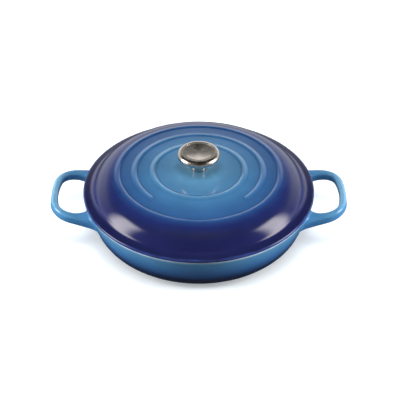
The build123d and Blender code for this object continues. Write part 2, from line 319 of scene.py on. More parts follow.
def grid_of_turns(tree, given):
    """Lay out the grid, and return it with the turned place of each of its points."""
    rows = add_node(tree, "GeometryNodeAttributeDomainSize", {0: given["Section"]}).outputs["Point Count"]
    columns = add_node(tree, "ShaderNodeMath", {0: given["Steps round"], 1: 1.0},
                       operation="ADD").outputs[0]
    grid = add_node(tree, "GeometryNodeMeshGrid",
                    {"Vertices X": rows, "Vertices Y": columns}).outputs["Mesh"]
    index = add_node(tree, "GeometryNodeInputIndex").outputs[0]
    row = add_node(tree, "ShaderNodeMath", {0: index, 1: columns}, operation="DIVIDE").outputs[0]
    row = add_node(tree, "ShaderNodeMath", {0: row}, operation="FLOOR").outputs[0]
    column = add_node(tree, "ShaderNodeMath", {0: index, 1: columns}, operation="MODULO").outputs[0]
    here = add_node(tree, "GeometryNodeInputPosition").outputs[0]
    point = add_node(tree, "GeometryNodeSampleIndex", {"Geometry": given["Section"], "Value": here,
                                                       "Index": row},
                     data_type="FLOAT_VECTOR", domain="POINT").outputs[0]
    share = add_node(tree, "ShaderNodeMath", {0: column, 1: given["Steps round"]},
                     operation="DIVIDE").outputs[0]
    angle = add_node(tree, "ShaderNodeMath", {0: share, 1: 2 * pi}, operation="MULTIPLY").outputs[0]
    turned = add_node(tree, "ShaderNodeVectorRotate", {"Vector": point, "Angle": angle},
                      rotation_type="Z_AXIS").outputs[0]
    return grid, turned


def lathe_tree(rings):
    """Make the tree that turns a section into a piece, with a number of raised rings on top."""
    tree = bpy.data.node_groups.new("lathe with %d rings" % rings, "GeometryNodeTree")
    names = [("Section", "NodeSocketGeometry"), ("Steps round", "NodeSocketInt"),
             ("Finish", "NodeSocketMaterial"), ("Lowest height", "NodeSocketFloat")]
    names += [("Ring %d %s" % (k + 1, word), "NodeSocketFloat")
              for k in range(rings) for word in RING_INPUTS]
    for name, kind in names:
        tree.interface.new_socket(name, in_out="INPUT", socket_type=kind)
    tree.interface.new_socket("Geometry", in_out="OUTPUT", socket_type="NodeSocketGeometry")
    given = add_node(tree, "NodeGroupInput").outputs
    grid, turned = grid_of_turns(tree, given)
    shape = add_node(tree, "GeometryNodeSetPosition", {"Geometry": grid, "Position": turned}).outputs[0]
    shape = add_node(tree, "GeometryNodeMergeByDistance",
                     {"Geometry": shape, "Distance": MERGE_DISTANCE}).outputs[0]
    for k in range(rings):
        feeds = {"Geometry": shape, "Lowest height": given["Lowest height"]}
        feeds.update({word.capitalize(): given["Ring %d %s" % (k + 1, word)] for word in RING_INPUTS})
        ring = tree.nodes.new("GeometryNodeGroup")
        ring.node_tree = raised_ring
        for socket, value in feeds.items():
            tree.links.new(value, ring.inputs[socket])
        shape = ring.outputs[0]
    shape = add_node(tree, "GeometryNodeSetShadeSmooth", {"Geometry": shape}).outputs[0]
    shape = add_node(tree, "GeometryNodeRealizeInstances", {0: shape}).outputs[0]
    shape = add_node(tree, "GeometryNodeSetMaterial",
                     {"Geometry": shape, "Material": given["Finish"]}).outputs[0]
    add_node(tree, "NodeGroupOutput", {0: shape})
    return tree


print("points merge within", 1000 * MERGE_DISTANCE, "mm")


# %% Turn a section into a piece
def through_tree(name, start_mesh, tree, values):
    """Run a mesh through a node tree and return the result as a plain object."""
    source = bpy.data.objects.new(name + "_source", start_mesh)
    scene.collection.objects.link(source)
    modifier = source.modifiers.new("nodes", "NODES")
    modifier.node_group = tree
    for item in tree.interface.items_tree:
        if item.in_out == "INPUT" and item.name in values:
            modifier[item.identifier] = values[item.name]
    evaluated = source.evaluated_get(bpy.context.evaluated_depsgraph_get())
    mesh = bpy.data.meshes.new_from_object(evaluated)
    bpy.data.objects.remove(source)
    shell = bmesh.new()
    shell.from_mesh(mesh)
    bmesh.ops.remove_doubles(shell, verts=shell.verts, dist=MERGE_DISTANCE)
    bmesh.ops.recalc_face_normals(shell, faces=shell.faces)
    shell.to_mesh(mesh)
    shell.free()
    piece = bpy.data.objects.new(name, mesh)
    mesh.name = name
    scene.collection.objects.link(piece)
    return piece


def turn_piece(name, points, finish, steps, closed=True, rings=(), lowest=0.0):
    """Turn a section in millimetres into a finished piece, with raised rings if any are given."""
    loop = points + points[:1] if closed else points
    outline = bpy.data.meshes.new(name + "_section")
    outline.from_pydata([(r / 1000, 0, z / 1000) for r, z in loop],
                        [(i, i + 1) for i in range(len(loop) - 1)], [])
    values = {"Steps round": steps, "Finish": finish, "Lowest height": lowest / 1000}
    for k, ring in enumerate(rings):
        for word, value in zip(RING_INPUTS, ring):
            values["Ring %d %s" % (k + 1, word)] = float(value)
    piece = through_tree(name, outline, lathe_tree(len(rings)), values)
    print(name, "has", len(piece.data.polygons), "faces from", len(points), "section points")
    return piece


print("turned pieces go into", scene.collection.name)


# %% [markdown]
# ## Vitreous enamel
#
# The castings are sprayed with ground coloured glass and fired at about 800 degrees, so the surface
# is a layer of glass: smooth, hard, mirror-like at a glancing angle, and never quite flat. It is made
# here from a plain glossy surface with the index of refraction of glass. Four things keep it from
# looking like plastic. The colour is sprayed on in a gradient. It drifts a little as the coat gets
# thicker and thinner. It is paler on the crests of the rings, with thin glaze and a painted
# highlight, and deeper beside them, with pooled glaze and painted shade, as the ring group noted.
# And a long, low ripple (orange peel) bends the reflections.

# %% Measures that patterns follow
# Sizes of the enamel's patterns in mm: wander of the spray, thick and thin coat, grit, orange peel
SPRAY_SIZE, COAT_SIZE, GRIT_SIZE, PEEL_SIZE = 18, 30, 0.9, 9
PEEL_DEPTH = 0.012
# The glaze's roughness where its coat is thin and where it is thick
GLASS_IOR, GLAZE_ROUGHNESS = 1.52, (0.0975, 0.169)
# Spans of a noise's values, and the tones that the coat and the grit give
NOISE_SPAN, GRIT_SPAN, SHINE_SPAN = (0.3, 0.7), (0.25, 0.75), (0.2, 0.8)
COAT_TONES, GRIT_TONES = (0.94, 1.07), (0.96, 1.05)


def measures(tree):
    """Outputs in mm for a point's place, its three coordinates and its distance from the axis."""
    spot = add_node(tree, "ShaderNodeTexCoord").outputs["Object"]
    mm = add_node(tree, "ShaderNodeVectorMath", {0: spot, "Scale": 1000.0}, operation="SCALE").outputs[0]
    axes = add_node(tree, "ShaderNodeSeparateXYZ", {0: mm}).outputs
    flat = add_node(tree, "ShaderNodeCombineXYZ", {0: axes["X"], 1: axes["Y"]}).outputs[0]
    radius = add_node(tree, "ShaderNodeVectorMath", {0: flat}, operation="LENGTH").outputs["Value"]
    return mm, axes, radius


print("spray wanders over", SPRAY_SIZE, "mm and the ripple is", PEEL_SIZE, "mm wide")

# %% Enamel material
# What pooled glaze in painted shade and thin glaze under a painted highlight multiply the colour by
POOLED_GLAZE_AND_SHADE, THIN_GLAZE_AND_HIGHLIGHT = (0.6, 0.68, 0.78), (1.9, 1.5, 1.3)
# The pale inside enamel, and a dark blue painted as shade on the handles' lower sides
INSIDE_ENAMEL, PAINTED_SHADE_ENAMEL = "#DDD5C2", "#122C5C"


def sprayed_colour(tree, mm, measure, stops, spray):
    """Output for a gradient through stops in mm, whose borders wander by a spray width in mm."""
    drift = add_node(tree, "ShaderNodeTexNoise", {"Vector": mm, "Scale": 1 / SPRAY_SIZE,
                                                  "Detail": 2.0}).outputs["Fac"]
    wander = add_node(tree, "ShaderNodeMath", {0: drift, 1: spray, 2: -0.5 * spray},
                      operation="MULTIPLY_ADD").outputs[0]
    where = add_node(tree, "ShaderNodeMath", {0: measure, 1: wander}, operation="ADD").outputs[0]
    low, high = stops[0][0], stops[-1][0]
    where = add_node(tree, "ShaderNodeMapRange", {0: where, **spans((low, high), (0.0, 1.0))}).outputs[0]
    ramp = add_node(tree, "ShaderNodeValToRGB", {0: where})
    for _ in stops[2:]:
        ramp.color_ramp.elements.new(0.5)
    for element, (place, paint) in zip(ramp.color_ramp.elements, stops):
        element.position = (place - low) / (high - low)
        element.color = colour(paint)
    return ramp.outputs[0]


def uneven_coat(tree, mm):
    """Outputs for how thick the coat is, and for the tone that it and the grit give the colour."""
    coat = add_node(tree, "ShaderNodeTexNoise", {"Vector": mm, "Scale": 1 / COAT_SIZE,
                                                 "Detail": 3.0}).outputs["Fac"]
    grit = add_node(tree, "ShaderNodeTexNoise", {"Vector": mm, "Scale": 1 / GRIT_SIZE,
                                                 "Detail": 1.0}).outputs["Fac"]
    tone = add_node(tree, "ShaderNodeMapRange", {0: coat, **spans(NOISE_SPAN, COAT_TONES)}).outputs[0]
    speck = add_node(tree, "ShaderNodeMapRange", {0: grit, **spans(GRIT_SPAN, GRIT_TONES)}).outputs[0]
    return coat, add_node(tree, "ShaderNodeMath", {0: tone, 1: speck}, operation="MULTIPLY").outputs[0]


def enamel(name, inside, painted_shade, stops, along, spray):
    """Sprayed glass enamel whose outside colour runs through stops in mm of radius or height."""
    material, tree = empty_material(name)
    mm, axes, radius = measures(tree)
    measure = {"radius": radius, "height": axes["Z"]}[along]
    coat, tone = uneven_coat(tree, mm)
    outside = add_node(tree, "ShaderNodeVectorMath", {0: sprayed_colour(tree, mm, measure, stops, spray),
                                                      "Scale": tone}, operation="SCALE").outputs[0]
    # The Mix node has sockets for each kind of data, so its colour sockets go by number
    # Painted light on the rings: a painted highlight with the thin glaze, painted shade with the pool
    for relief, factor in (("pool_and_shade", POOLED_GLAZE_AND_SHADE), ("crest", THIN_GLAZE_AND_HIGHLIGHT)):
        amount = add_node(tree, "ShaderNodeAttribute", attribute_name=relief).outputs["Fac"]
        other = add_node(tree, "ShaderNodeVectorMath", {0: outside, 1: factor},
                         operation="MULTIPLY").outputs[0]
        outside = add_node(tree, "ShaderNodeMix", {0: amount, 6: outside, 7: other},
                           data_type="RGBA").outputs[2]
    # Painted shade darkens the outside colour where the mask asks for it
    outside = add_node(tree, "ShaderNodeMix", {0: painted_shade(tree, radius), 6: outside,
                                               7: colour(PAINTED_SHADE_ENAMEL)}, data_type="RGBA").outputs[2]
    paint = add_node(tree, "ShaderNodeMix", {0: inside(tree, radius, axes["Z"]), 6: outside,
                                             7: colour(INSIDE_ENAMEL)}, data_type="RGBA").outputs[2]
    peel = add_node(tree, "ShaderNodeTexNoise", {"Vector": mm, "Scale": 1 / PEEL_SIZE,
                                                 "Detail": 1.0}).outputs["Fac"]
    ripple = add_node(tree, "ShaderNodeBump", {"Strength": 1.0, "Distance": PEEL_DEPTH / 1000,
                                               "Height": peel}).outputs[0]
    shine = add_node(tree, "ShaderNodeMapRange",
                     {0: coat, **spans(SHINE_SPAN, GLAZE_ROUGHNESS)}).outputs[0]
    surface = add_node(tree, "ShaderNodeBsdfPrincipled", {"Base Color": paint, "Roughness": shine,
                                                          "IOR": GLASS_IOR, "Normal": ripple}).outputs[0]
    add_node(tree, "ShaderNodeOutputMaterial", {"Surface": surface})
    return material


print("glass bends light by", GLASS_IOR)

# %% [markdown]
# ## Where each enamel goes
#
# Both castings are blue outside and pale inside, and the border runs round the rim. A real sprayer
# masks it by hand. Here a small tree works it out from the way that the surface faces and its
# distance from the axis, so the pan needs no painted map. The lid's colour runs from azure in the
# middle to indigo on the shoulder, so it is measured along the radius, and the pan's runs from a
# pale rim down to a nearly black foot, so it is measured along the height. The pale rim edge is a
# painted highlight, and the near black at the foot is partly painted shade. The lower sides of the
# handles are painted a little darker, as painted shade where they face away from the light.

# %% Borders between the enamels
# Radii and a height in mm
LIP_INSIDE, RIM_INSIDE, WALL_FOOT = 146.0, 151.5, 45.0
# How far up or outwards a surface faces, from -1 to 1
FACING_DOWN, FACING_UP, FACING_IN = -0.2, 0.6, -0.25
# Handles' painted shade: from lit to shaded facing, shares of the darker colour, and radii in mm
HANDLE_FACING, HANDLE_SHADE, HANDLE_ROOT = (0.6, -0.3), (0.0, 0.15), (154.0, 160.0)


def under_the_lid(tree, radius, height):
    """1 on the lid's underside within its lip, 0 elsewhere, by the way the surface faces."""
    normal = add_node(tree, "ShaderNodeNewGeometry").outputs["Normal"]
    facing = add_node(tree, "ShaderNodeSeparateXYZ", {0: normal}).outputs["Z"]
    down = add_node(tree, "ShaderNodeMath", {0: facing, 1: FACING_DOWN}, operation="LESS_THAN").outputs[0]
    within = add_node(tree, "ShaderNodeMath", {0: radius, 1: LIP_INSIDE}, operation="LESS_THAN").outputs[0]
    return add_node(tree, "ShaderNodeMath", {0: down, 1: within}, operation="MULTIPLY").outputs[0]


def inside_the_pan(tree, radius, height):
    """1 on the pan's inner wall and floor, 0 outside, by the way the surface faces."""
    geometry = add_node(tree, "ShaderNodeNewGeometry").outputs
    place = add_node(tree, "ShaderNodeVectorMath", {0: geometry["Position"], 1: (1.0, 1.0, 0.0)},
                     operation="MULTIPLY").outputs[0]
    outwards = add_node(tree, "ShaderNodeVectorMath", {0: place}, operation="NORMALIZE").outputs[0]
    facing = add_node(tree, "ShaderNodeVectorMath", {0: geometry["Normal"], 1: outwards},
                      operation="DOT_PRODUCT").outputs["Value"]
    within = add_node(tree, "ShaderNodeMath", {0: radius, 1: RIM_INSIDE}, operation="LESS_THAN").outputs[0]
    inwards = add_node(tree, "ShaderNodeMath", {0: facing, 1: FACING_IN}, operation="LESS_THAN").outputs[0]
    up = add_node(tree, "ShaderNodeSeparateXYZ", {0: geometry["Normal"]}).outputs["Z"]
    floor = add_node(tree, "ShaderNodeMath", {0: up, 1: FACING_UP}, operation="GREATER_THAN").outputs[0]
    low = add_node(tree, "ShaderNodeMath", {0: height, 1: WALL_FOOT}, operation="LESS_THAN").outputs[0]
    floor = add_node(tree, "ShaderNodeMath", {0: floor, 1: low}, operation="MULTIPLY").outputs[0]
    either = add_node(tree, "ShaderNodeMath", {0: inwards, 1: floor}, operation="MAXIMUM").outputs[0]
    return add_node(tree, "ShaderNodeMath", {0: either, 1: within}, operation="MULTIPLY").outputs[0]


def no_painted_shade(tree, radius):
    """0 everywhere: the lid gets no painted shade."""
    return 0.0


def painted_shade_under_handles(tree, radius):
    """Painted shade: from 0 on top of the handles to a small share on the sides that face down."""
    normal = add_node(tree, "ShaderNodeNewGeometry").outputs["Normal"]
    up = add_node(tree, "ShaderNodeSeparateXYZ", {0: normal}).outputs["Z"]
    turned = add_node(tree, "ShaderNodeMapRange", {0: up, **spans(HANDLE_FACING, HANDLE_SHADE)}).outputs[0]
    off_pan = add_node(tree, "ShaderNodeMapRange",
                       {0: radius, **spans(HANDLE_ROOT, (0.0, 1.0))}).outputs[0]
    return add_node(tree, "ShaderNodeMath", {0: turned, 1: off_pan}, operation="MULTIPLY").outputs[0]


print("the pan's border lies", RIM_INSIDE, "mm from the axis")

# %% Enamel of the lid and of the pan
# Radii in mm. The paler last stop, on the flange's rounded edge, is a painted highlight.
LID_STOPS = ((14, "#568BAD"), (40, "#467498"), (70, "#396A94"), (92, "#2D5584"), (106, "#254A7A"),
             (112, "#203A6C"), (119, "#1A2559"), (130, "#1A1F48"), (141, "#1C2050"), (146, "#171C46"),
             (153, "#161A40"), (155, "#2C3A74"))
# Heights in mm. The two pale top stops are a painted highlight on the rim's rounded edge, and the
# near-black lowest stops are partly painted shade at the foot.
PAN_STOPS = ((2, "#05081A"), (12, "#090F26"), (22, "#11274D"), (34, "#2F6098"), (46, "#427DAF"),
             (55, "#528AB2"), (57.6, "#74A8CA"), (59.2, "#CEDFEC"))
LID_SPRAY, PAN_SPRAY = 5.0, 1.6
lid_enamel = enamel("vitreous_enamel_lid", under_the_lid, no_painted_shade, LID_STOPS, "radius", LID_SPRAY)
pan_enamel = enamel("vitreous_enamel_pan", inside_the_pan, painted_shade_under_handles, PAN_STOPS, "height",
                    PAN_SPRAY)
print("enamels:", lid_enamel.name, pan_enamel.name)

# %% [markdown]
# ## Steel and brass
#
# The knob is pressed from stainless steel and polished, so it mirrors the room with little blur.
# Its cap was brushed while it turned, which leaves fine rings. Each ring is a tiny mirror that
# throws light sideways, and together they make the bright fans that sweep round such a disc. Metal
# gets its colour from its base colour alone, and its index of refraction stays as it is.

# %% Metal materials
# Size of a polisher's smears in mm, tones of the lathe lines, and what smears do to the roughness
SMEAR_SIZE, LINE_TONES, SMEAR_SHARES = 8, (0.9, 1.06), (0.8, 1.25)


def metal(name, tint, roughness, groove, depth, stretch=0.0):
    """Bare metal with lathe lines a groove's width apart in mm, and stretched highlights."""
    material, tree = empty_material(name)
    mm, axes, radius = measures(tree)
    # The lines follow the turning, so their noise changes along the radius and the height only
    track = add_node(tree, "ShaderNodeCombineXYZ", {0: radius, 1: axes["Z"]}).outputs[0]
    lines = add_node(tree, "ShaderNodeTexNoise", {"Vector": track, "Scale": 1 / groove,
                                                  "Detail": 3.0}).outputs["Fac"]
    smears = add_node(tree, "ShaderNodeTexNoise", {"Vector": mm, "Scale": 1 / SMEAR_SIZE,
                                                   "Detail": 3.0}).outputs["Fac"]
    smeared = [share * roughness for share in SMEAR_SHARES]
    blur = add_node(tree, "ShaderNodeMapRange", {0: smears, **spans(NOISE_SPAN, smeared)}).outputs[0]
    tone = add_node(tree, "ShaderNodeMapRange", {0: lines, **spans(NOISE_SPAN, LINE_TONES)}).outputs[0]
    paint = add_node(tree, "ShaderNodeVectorMath", {0: colour(tint)[:3], "Scale": tone},
                     operation="SCALE").outputs[0]
    relief = add_node(tree, "ShaderNodeBump", {"Strength": 1.0, "Distance": depth / 1000,
                                               "Height": lines}).outputs[0]
    feeds = {"Base Color": paint, "Metallic": 1.0, "Roughness": blur, "Normal": relief}
    if stretch:
        feeds["Anisotropic"] = stretch
        feeds["Tangent"] = add_node(tree, "ShaderNodeTangent", direction_type="RADIAL", axis="Z").outputs[0]
    surface = add_node(tree, "ShaderNodeBsdfPrincipled", feeds).outputs[0]
    add_node(tree, "ShaderNodeOutputMaterial", {"Surface": surface})
    return material


# Polished steel is a soft mirror, brushed steel draws light into fans, and turned brass glows warm
polished_steel = metal("polished_stainless_steel", "#CFC8BE", 0.27, groove=0.5, depth=0.001, stretch=0.4)
brushed_steel = metal("brushed_stainless_steel", "#B8B1A8", 0.3, groove=0.3, depth=0.002, stretch=0.9)
turned_brass = metal("turned_brass", "#D9B25F", 0.28, groove=0.4, depth=0.006)
plain_steel = metal("plain_stainless_steel", "#C4C4C2", 0.32, groove=0.4, depth=0.004)
print("metals:", polished_steel.name, brushed_steel.name, turned_brass.name, plain_steel.name)

# %% [markdown]
# ## The lid
#
# The lid is one casting: a slightly crowned top with a small boss for the knob, a round shoulder, a
# groove, and a flat flange that lies on the pan. Below, a lip drops into the pan and a pad takes the
# screw. Its section is a closed loop round all of that. The three raised rings are added by the tree,
# and the middle one is open towards the front.

# %% Lid sizes in mm
SEAT, TOP, LID_WALL = 60.1, 90.2, 3.6
SCREW_HOLE = 3.4
BOSS_RADIUS, BOSS_TOP, FLARE_RADIUS = 12, TOP + 2.0, 32
SHOULDER_RADIUS, CROWN_RISE = 112.5, 2.2
GROOVE_RADIUS, GROOVE_HEIGHT, GROOVE_ROUNDING = 142.6, SEAT + 5.3, 6.5
LID_RADIUS, FLANGE_TOP = 155, SEAT + 4.6
LIP_ROOT, LIP_OUT, LIP_IN, LIP_DROP = 147.2, 146.6, 143.8, 4
PAD_RADIUS, PAD_THICKNESS = 13, 2.4
# Points of a long curve start this far past the end of the curve before it
CLEAR = 0.2
CROWN_BALL = (SHOULDER_RADIUS**2 + CROWN_RISE**2) / (2 * CROWN_RISE)


def crown_height(radius):
    """Height of the crowned top at a radius."""
    return TOP - CROWN_BALL + sqrt(CROWN_BALL**2 - radius**2)


def below(points, distance):
    """The point a distance under the end of a curve."""
    step = heading_at(points)
    length = hypot(*step)
    return (points[-1][0] + step[1] / length * distance, points[-1][1] - step[0] / length * distance)


print("the crown is part of a ball of radius", round(CROWN_BALL), "mm")

# %% Lid section
ceiling_top, pad_bottom, lip_bottom = TOP - LID_WALL, TOP - LID_WALL - PAD_THICKNESS, SEAT - LIP_DROP
crown = leaving((0, TOP), (1, 0), (SHOULDER_RADIUS, TOP - CROWN_RISE), 200)
shoulder = leaving(crown[-1], heading_at(crown), (GROOVE_RADIUS, GROOVE_HEIGHT), 34)
ceiling = leaving((0, ceiling_top), (1, 0), below(crown, LID_WALL), 40)
inner_shoulder = leaving(ceiling[-1], heading_at(ceiling), below(shoulder, LID_WALL), 26)
flare = leaving((FLARE_RADIUS, crown_height(FLARE_RADIUS)), (-1, 0), (BOSS_RADIUS, BOSS_TOP), 14)
crown_run = [flare[0]] + [p for p in crown if p[0] > FLARE_RADIUS + CLEAR]
ceiling_run = [p for p in ceiling[::-1] if p[0] > PAD_RADIUS + CLEAR] + [(PAD_RADIUS, ceiling_top)]
lid_section = section([
    (line((SCREW_HOLE, BOSS_TOP), (BOSS_RADIUS, BOSS_TOP), 3), 0.8),
    (flare[::-1], 0),
    (crown_run, 0),
    (shoulder, GROOVE_ROUNDING),
    (line((GROOVE_RADIUS, GROOVE_HEIGHT), (LID_RADIUS, FLANGE_TOP), 2), 2.0),
    (line((LID_RADIUS, FLANGE_TOP), (LID_RADIUS, SEAT)), 1.5),
    (line((LID_RADIUS, SEAT), (LIP_ROOT, SEAT), 2), 0.6),
    (line((LIP_ROOT, SEAT), (LIP_OUT, lip_bottom)), 0.8),
    (line((LIP_OUT, lip_bottom), (LIP_IN, lip_bottom)), 0.8),
    (line((LIP_IN, lip_bottom), inner_shoulder[-1], 2), 0),
    (inner_shoulder[::-1], 0),
    (ceiling_run, 0.8),
    (line((PAD_RADIUS, ceiling_top), (PAD_RADIUS, pad_bottom)), 0.8),
    (line((PAD_RADIUS, pad_bottom), (SCREW_HOLE, pad_bottom), 2), 0.3),
    (line((SCREW_HOLE, pad_bottom), (SCREW_HOLE, BOSS_TOP), 3), 0.3)])
print("lid section:", len(lid_section), "points")

# %% Turn the lid
RING_RADII, RING_OPENINGS = (107.8, 85.1, 60.5), (0, 46, 0)
RING_INNER, RING_OUTER, RING_HEIGHT, RINGS_ABOVE = 3.6, 6.0, 1.3, 87.2
lid_rings = [(radius / 1000, RING_INNER / 1000, RING_OUTER / 1000, RING_HEIGHT / 1000, radians(opening))
             for radius, opening in zip(RING_RADII, RING_OPENINGS)]
lid = turn_piece("lid_casting", lid_section, lid_enamel, steps=288, rings=lid_rings, lowest=RINGS_ABOVE)
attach(lid, "lid")
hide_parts("lid")

# %% [markdown]
# ## The knob
#
# The knob is a hollow mushroom: a straight stem, a sloping underside, a rolled rim, and a round
# opening on top that a dished cap is pressed into. A screw from below pulls on a brass bush inside
# the stem, so nothing of it shows.

# %% Knob sizes in mm, heights from the boss up
ROLL_RADIUS, ROLL_HEIGHT, ROLL_OUT, ROLL_IN = 22.8, 22.5, 5.2, 3.0
SLOPE = 24
STEM_OUT, STEM_IN, STEM_FLOOR, NECK_ROUNDING = 10.1, 7.9, 2, 5.0
# Inside the neck the rounding is larger by the sheet's thickness
INNER_NECK_ROUNDING = NECK_ROUNDING + STEM_OUT - STEM_IN
KNOB_TOP, LEDGE, UNDER_LEDGE = 27.7, 26.5, 25.5
CAP_SEAT, CAP_OPENING = 20.9, 19.0
CAP_RADIUS, CAP_TOP, CAP_THICKNESS, CAP_DISH = 20.8, 27.5, 1, 1.5
roll_middle = (ROLL_RADIUS, ROLL_HEIGHT + BOSS_TOP)
knob_top, ledge, under_ledge, stem_floor = [BOSS_TOP + height for height in
                                            (KNOB_TOP, LEDGE, UNDER_LEDGE, STEM_FLOOR)]
print("the knob's top is", round(knob_top, 1), "mm above the table")

# %% Knob body
roll = arc(roll_middle, ROLL_OUT, SLOPE - 90, 90, 26)
inner_roll = arc(roll_middle, ROLL_IN, SLOPE - 90, 90, 18)
neck = roll[0][1] - (roll[0][0] - STEM_OUT) * tan(radians(SLOPE))
inner_neck = inner_roll[0][1] - (inner_roll[0][0] - STEM_IN) * tan(radians(SLOPE))
knob_section = section([
    (line((SCREW_HOLE, BOSS_TOP), (STEM_OUT, BOSS_TOP), 2), 0.6),
    (line((STEM_OUT, BOSS_TOP), (STEM_OUT, neck), 4), NECK_ROUNDING),
    (line((STEM_OUT, neck), roll[0], 5), 0),
    (roll, 0),
    (line(roll[-1], (CAP_SEAT, knob_top), 1), 0.25),
    (line((CAP_SEAT, knob_top), (CAP_SEAT, ledge)), 0.1),
    (line((CAP_SEAT, ledge), (CAP_OPENING, ledge)), 0.1),
    (line((CAP_OPENING, ledge), (CAP_OPENING, under_ledge)), 0.1),
    (line((CAP_OPENING, under_ledge), inner_roll[-1]), 0),
    (inner_roll[::-1], 0),
    (line(inner_roll[0], (STEM_IN, inner_neck), 3), INNER_NECK_ROUNDING),
    (line((STEM_IN, inner_neck), (STEM_IN, stem_floor), 3), 0.2),
    (line((STEM_IN, stem_floor), (SCREW_HOLE, stem_floor)), 0.2),
    (line((SCREW_HOLE, stem_floor), (SCREW_HOLE, BOSS_TOP)), 0.2)])
knob = turn_piece("knob_shell", knob_section, polished_steel, steps=192)
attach(knob, "lid")
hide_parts("knob_body")

# %% Knob cap
cap_top = BOSS_TOP + CAP_TOP
cap_bottom = cap_top - CAP_THICKNESS
dish = leaving((0, cap_top - CAP_DISH), (1, 0), (CAP_OPENING, cap_top), 30)
under_dish = leaving((0, cap_bottom - CAP_DISH), (1, 0), (CAP_OPENING, cap_bottom), 12)
cap_section = section([
    (dish, 0.8),
    (line((CAP_OPENING, cap_top), (CAP_RADIUS, cap_top), 2), 0.3),
    (line((CAP_RADIUS, cap_top), (CAP_RADIUS, cap_bottom)), 0.1),
    (line((CAP_RADIUS, cap_bottom), (CAP_OPENING, cap_bottom), 1), 0),
    (under_dish[::-1], 0)], closed=False)
cap = turn_piece("knob_cap_disc", cap_section, brushed_steel, steps=160, closed=False)
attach(cap, "lid")
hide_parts("knob_cap")

# %% [markdown]
# ## Pieces that keep their solids
#
# The pan has two handles, so it isn't round and keeps its own solid, with the enamel on it. Bush,
# washer and screw sit out of sight under the knob. They are a turned brass part and two plain steel
# ones, and a flat colour would look wrong once the lid is taken off, so each gets its metal.

# %% Finishes of the solids that stay
FINISHES = {"pan": pan_enamel, "knob_bush": turned_brass, "knob_washer": plain_steel,
            "knob_screw": plain_steel}
for node, finish in FINISHES.items():
    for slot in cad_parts[node].material_slots:
        slot.material = finish
    print(node, "is", finish.name)

# %% [markdown]
# ## The camera
#
# The picture was taken from the front and well above, with a long lens. So the camera stands
# 1.33 m from the middle of the pan's rim, looks down on it at 37 degrees, and has a lens of nearly
# 90 mm. The picture is 400 pixels wide, and a small shift moves the pan to its place in it.

# %% Camera
PICTURE_WIDTH, SENSOR_WIDTH = 400, 36.0
FOCAL_PIXELS, RIGHT_PIXELS, UP_PIXELS = 984.8, 1.28, -12.2
AIM, FAR, RISE = Vector((0, 0, 0.060)), 1.330, radians(36.85)
camera_data = bpy.data.cameras.new("camera")
camera_data.sensor_width = SENSOR_WIDTH
camera_data.lens = FOCAL_PIXELS / PICTURE_WIDTH * SENSOR_WIDTH
camera_data.shift_x = RIGHT_PIXELS / PICTURE_WIDTH
camera_data.shift_y = UP_PIXELS / PICTURE_WIDTH
camera = bpy.data.objects.new("camera", camera_data)
camera.location = AIM + Vector((0, -FAR * cos(RISE), FAR * sin(RISE)))
camera.rotation_euler = (pi / 2 - RISE, 0, 0)
scene.collection.objects.link(camera)
scene.camera = camera
scene.view_settings.view_transform = "Standard"
print("camera at", [round(x, 3) for x in camera.location])

# %% [markdown]
# ## The table
#
# The pan stands on a white table that runs into a white background. Lighting it until it is white
# would flood the pan with light. So it glows by itself instead, and the Light Path node, which
# tells what kind of ray asks, keeps that glow from matt surfaces: they get the light of a grey
# table. Close to the pan the camera sees a weaker, slightly blue glow, a painted shadow round the
# pan, and the lamps' shadow shows there too. Gloss gets a darker table, and near the pan a painted
# shadow with no glow at all, while far off the table is bright. That keeps the foot of the pan as
# dark as it is when a real one mirrors its own shadow.

# %% Table
# Distances from the middle of the pan in metres, and strengths at which 1 is white
# The weaker glow near the pan is a painted shadow round it, over the lamps' own shadow
SHADOW_REACH, SHADOW_GLOW = (0.15, 0.42), (0.3, 0.7)
FILL_REACH, FILL_GLOW = (0.3, 1.2), 0.4
MIRRORED_REACH, MIRRORED_GLOW = (0.35, 1.0), 0.8
TABLE_SIDE = 8

table_mesh = bpy.data.meshes.new("floor")
table_mesh.from_pydata([(-TABLE_SIDE, -TABLE_SIDE, 0), (TABLE_SIDE, -TABLE_SIDE, 0),
                        (TABLE_SIDE, TABLE_SIDE, 0), (-TABLE_SIDE, TABLE_SIDE, 0)], [], [(0, 1, 2, 3)])
table = bpy.data.objects.new("floor", table_mesh)
scene.collection.objects.link(table)
table_finish, tree = empty_material("white_table")
rays = add_node(tree, "ShaderNodeLightPath").outputs
# Gloss sees the table darker than matt light does: painted shade in its reflections
paint = add_node(tree, "ShaderNodeMix", {0: rays["Is Glossy Ray"], 6: colour("#868B93"),
                                         7: colour("#484D53")}, data_type="RGBA").outputs[2]
paint = add_node(tree, "ShaderNodeMix", {0: rays["Is Camera Ray"], 6: paint, 7: colour("#EAF2F7")},
                 data_type="RGBA").outputs[2]
matt = add_node(tree, "ShaderNodeBsdfDiffuse", {"Color": paint}).outputs[0]
print("table:", 2 * TABLE_SIDE, "m wide")

